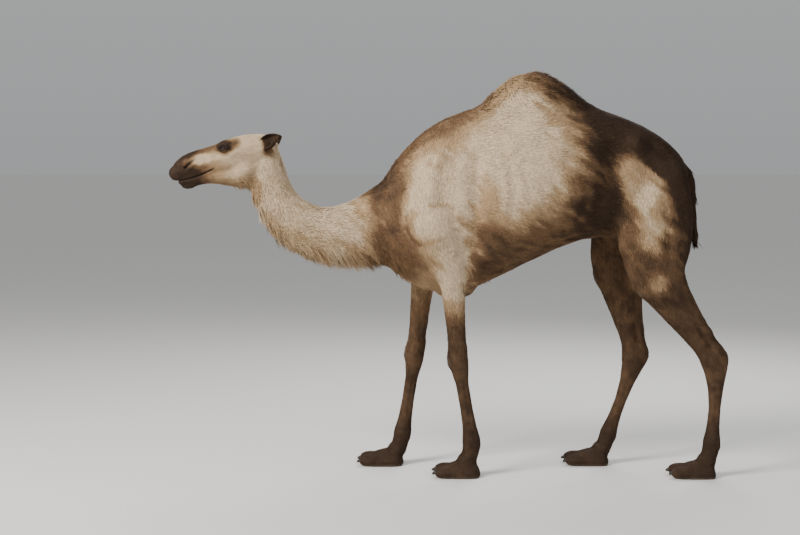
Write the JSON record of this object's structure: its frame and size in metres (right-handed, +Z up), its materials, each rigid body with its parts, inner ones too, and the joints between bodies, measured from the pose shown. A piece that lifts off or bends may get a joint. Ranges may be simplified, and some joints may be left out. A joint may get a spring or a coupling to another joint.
{
  "type": "dromedary camel",
  "caption": "Life-size one-humped camel in mid-stride with its neck lowered in a deep curve and its head held forward.",
  "frame": {"origin": "on the floor, below the middle of the animal's length and width", "axes": "+Z up, the camel faces -Y, +X is its left side"},
  "size_m": [0.5878, 2.8622, 2.0652],
  "materials": {
    "coat": "matt short hair, sand with pale and dark brown patches, standing in for a living coat",
    "crest": "matt long woolly hair, pale sand in front to dark brown behind",
    "foot": "short dark brown hair over a tough horny pad",
    "nail": "dull dark horn",
    "eye": "wet and glossy, opaque dark brown"
  },
  "bodies": {
    "root": {"head": "coat", "lower_jaw": "coat", "ear_left": "coat", "ear_right": "coat", "neck": "coat", "trunk": "coat", "hump": "crest", "tail": "coat", "foreleg_left": "coat", "foreleg_left_shank": "coat", "foreleg_left_foot": "foot", "nail_foreleg_left_outer": "nail", "nail_foreleg_left_inner": "nail", "foreleg_right": "coat", "foreleg_right_shank": "coat", "foreleg_right_foot": "foot", "nail_foreleg_right_outer": "nail", "nail_foreleg_right_inner": "nail", "hindleg_left": "coat", "hindleg_left_shank": "coat", "hindleg_left_foot": "foot", "nail_hindleg_left_outer": "nail", "nail_hindleg_left_inner": "nail", "hindleg_right": "coat", "hindleg_right_shank": "coat", "hindleg_right_foot": "foot", "nail_hindleg_right_outer": "nail", "nail_hindleg_right_inner": "nail", "eye_left": "eye", "eye_right": "eye"}
  },
  "joints": []
}
